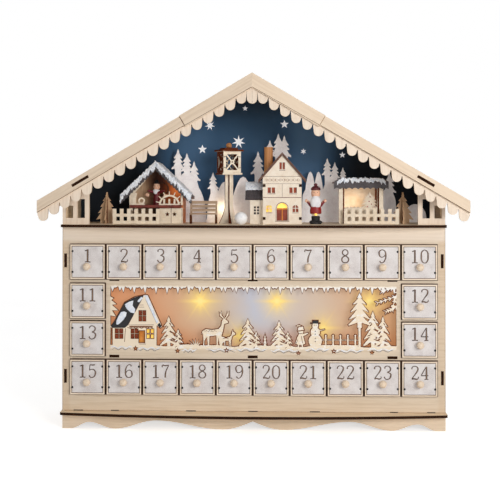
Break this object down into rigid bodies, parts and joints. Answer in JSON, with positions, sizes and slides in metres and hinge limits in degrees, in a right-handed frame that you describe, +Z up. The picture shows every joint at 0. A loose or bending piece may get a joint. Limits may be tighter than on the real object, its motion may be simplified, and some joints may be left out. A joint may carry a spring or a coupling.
{
  "type": "wooden advent calendar",
  "caption": "A gabled wooden advent calendar with numbered drawers, a cut-out lit window and a small winter stage.",
  "frame": {"origin": "centre of the bounding box at floor level, between the plinth's feet", "axes": "+Z up; the drawers and the stage face -Y; +X is the viewer's right, the long side of the cabinet"},
  "size_m": [0.475, 0.1176, 0.3973],
  "materials": {
    "pale_ply": "sanded_plywood",
    "burnt_edge_ply": "laser_cut_plywood",
    "printed_front": "printed_plywood",
    "turned_wood": "turned_bare_wood",
    "night_paint": "navy_print",
    "white_paint": "white_paint",
    "cream_paint": "cream_paint",
    "shingle_paint": "dark_grey_paint",
    "brown_stain": "brown_stain",
    "red_paint": "red_paint",
    "screen_print": "translucent_print",
    "lamp_glow": "emissive",
    "grey_plastic": "moulded",
    "black_plastic": "moulded",
    "cell_wrap": "plain_wrap"
  },
  "bodies": {
    "cabinet": {"base_plate": "burnt_edge_ply", "plinth_boards": "burnt_edge_ply", "side_panels": "pale_ply", "back_panel": "pale_ply", "front_panel": "printed_front", "inner_shelves": "pale_ply", "inner_partitions": "pale_ply", "printed_screen": "screen_print", "light_board": "pale_ply", "stage_floor": "burnt_edge_ply", "gable_windows": "pale_ply", "sky_wall": "night_paint", "roof_panels": "burnt_edge_ply", "fascia_boards": "pale_ply", "valance": "cream_paint", "forest_cutouts": "white_paint", "workshop_walls": "brown_stain", "workshop_roof": "shingle_paint", "workshop_figure": "red_paint", "workshop_goods": "cream_paint", "fences": "cream_paint", "crossed_trees": "cream_paint", "bench": "cream_paint", "lantern": "cream_paint", "house_walls": "cream_paint", "house_roof": "brown_stain", "annex": "cream_paint", "bearded_figure": "red_paint", "stall_walls": "cream_paint", "stall_roof": "shingle_paint", "snow_ball": "white_paint", "led_string": "lamp_glow", "battery_box": "grey_plastic", "battery_cells": "cell_wrap"},
    "drawer_01_box": {"drawer_01": "printed_front"},
    "drawer_02_box": {"drawer_02": "printed_front"},
    "drawer_03_box": {"drawer_03": "printed_front"},
    "drawer_04_box": {"drawer_04": "printed_front"},
    "drawer_05_box": {"drawer_05": "printed_front"},
    "drawer_06_box": {"drawer_06": "printed_front"},
    "drawer_07_box": {"drawer_07": "printed_front"},
    "drawer_08_box": {"drawer_08": "printed_front"},
    "drawer_09_box": {"drawer_09": "printed_front"},
    "drawer_10_box": {"drawer_10": "printed_front"},
    "drawer_11_box": {"drawer_11": "printed_front"},
    "drawer_12_box": {"drawer_12": "printed_front"},
    "drawer_13_box": {"drawer_13": "printed_front"},
    "drawer_14_box": {"drawer_14": "printed_front"},
    "drawer_15_box": {"drawer_15": "printed_front"},
    "drawer_16_box": {"drawer_16": "printed_front"},
    "drawer_17_box": {"drawer_17": "printed_front"},
    "drawer_18_box": {"drawer_18": "printed_front"},
    "drawer_19_box": {"drawer_19": "printed_front"},
    "drawer_20_box": {"drawer_20": "printed_front"},
    "drawer_21_box": {"drawer_21": "printed_front"},
    "drawer_22_box": {"drawer_22": "printed_front"},
    "drawer_23_box": {"drawer_23": "printed_front"},
    "drawer_24_box": {"drawer_24": "printed_front"},
    "lid": {"battery_lid": "grey_plastic"},
    "switch": {"switch_slider": "black_plastic"}
  },
  "joints": [
    {"name": "drawer_01_slide", "type": "slide", "parent": "cabinet", "child": "drawer_01_box", "axis": [0, -1, 0], "range_m": [0, 0.05]},
    {"name": "drawer_02_slide", "type": "slide", "parent": "cabinet", "child": "drawer_02_box", "axis": [0, -1, 0], "range_m": [0, 0.05]},
    {"name": "drawer_03_slide", "type": "slide", "parent": "cabinet", "child": "drawer_03_box", "axis": [0, -1, 0], "range_m": [0, 0.05]},
    {"name": "drawer_04_slide", "type": "slide", "parent": "cabinet", "child": "drawer_04_box", "axis": [0, -1, 0], "range_m": [0, 0.05]},
    {"name": "drawer_05_slide", "type": "slide", "parent": "cabinet", "child": "drawer_05_box", "axis": [0, -1, 0], "range_m": [0, 0.05]},
    {"name": "drawer_06_slide", "type": "slide", "parent": "cabinet", "child": "drawer_06_box", "axis": [0, -1, 0], "range_m": [0, 0.05]},
    {"name": "drawer_07_slide", "type": "slide", "parent": "cabinet", "child": "drawer_07_box", "axis": [0, -1, 0], "range_m": [0, 0.05]},
    {"name": "drawer_08_slide", "type": "slide", "parent": "cabinet", "child": "drawer_08_box", "axis": [0, -1, 0], "range_m": [0, 0.05]},
    {"name": "drawer_09_slide", "type": "slide", "parent": "cabinet", "child": "drawer_09_box", "axis": [0, -1, 0], "range_m": [0, 0.05]},
    {"name": "drawer_10_slide", "type": "slide", "parent": "cabinet", "child": "drawer_10_box", "axis": [0, -1, 0], "range_m": [0, 0.05]},
    {"name": "drawer_11_slide", "type": "slide", "parent": "cabinet", "child": "drawer_11_box", "axis": [0, -1, 0], "range_m": [0, 0.05]},
    {"name": "drawer_12_slide", "type": "slide", "parent": "cabinet", "child": "drawer_12_box", "axis": [0, -1, 0], "range_m": [0, 0.05]},
    {"name": "drawer_13_slide", "type": "slide", "parent": "cabinet", "child": "drawer_13_box", "axis": [0, -1, 0], "range_m": [0, 0.05]},
    {"name": "drawer_14_slide", "type": "slide", "parent": "cabinet", "child": "drawer_14_box", "axis": [0, -1, 0], "range_m": [0, 0.05]},
    {"name": "drawer_15_slide", "type": "slide", "parent": "cabinet", "child": "drawer_15_box", "axis": [0, -1, 0], "range_m": [0, 0.05]},
    {"name": "drawer_16_slide", "type": "slide", "parent": "cabinet", "child": "drawer_16_box", "axis": [0, -1, 0], "range_m": [0, 0.05]},
    {"name": "drawer_17_slide", "type": "slide", "parent": "cabinet", "child": "drawer_17_box", "axis": [0, -1, 0], "range_m": [0, 0.05]},
    {"name": "drawer_18_slide", "type": "slide", "parent": "cabinet", "child": "drawer_18_box", "axis": [0, -1, 0], "range_m": [0, 0.05]},
    {"name": "drawer_19_slide", "type": "slide", "parent": "cabinet", "child": "drawer_19_box", "axis": [0, -1, 0], "range_m": [0, 0.05]},
    {"name": "drawer_20_slide", "type": "slide", "parent": "cabinet", "child": "drawer_20_box", "axis": [0, -1, 0], "range_m": [0, 0.05]},
    {"name": "drawer_21_slide", "type": "slide", "parent": "cabinet", "child": "drawer_21_box", "axis": [0, -1, 0], "range_m": [0, 0.05]},
    {"name": "drawer_22_slide", "type": "slide", "parent": "cabinet", "child": "drawer_22_box", "axis": [0, -1, 0], "range_m": [0, 0.05]},
    {"name": "drawer_23_slide", "type": "slide", "parent": "cabinet", "child": "drawer_23_box", "axis": [0, -1, 0], "range_m": [0, 0.05]},
    {"name": "drawer_24_slide", "type": "slide", "parent": "cabinet", "child": "drawer_24_box", "axis": [0, -1, 0], "range_m": [0, 0.05]},
    {"name": "battery_lid_slide", "type": "slide", "parent": "cabinet", "child": "lid", "axis": [1, 0, 0], "range_m": [0, 0.045]},
    {"name": "switch_slide", "type": "slide", "parent": "cabinet", "child": "switch", "axis": [1, 0, 0], "range_m": [0, 0.005]}
  ]
}
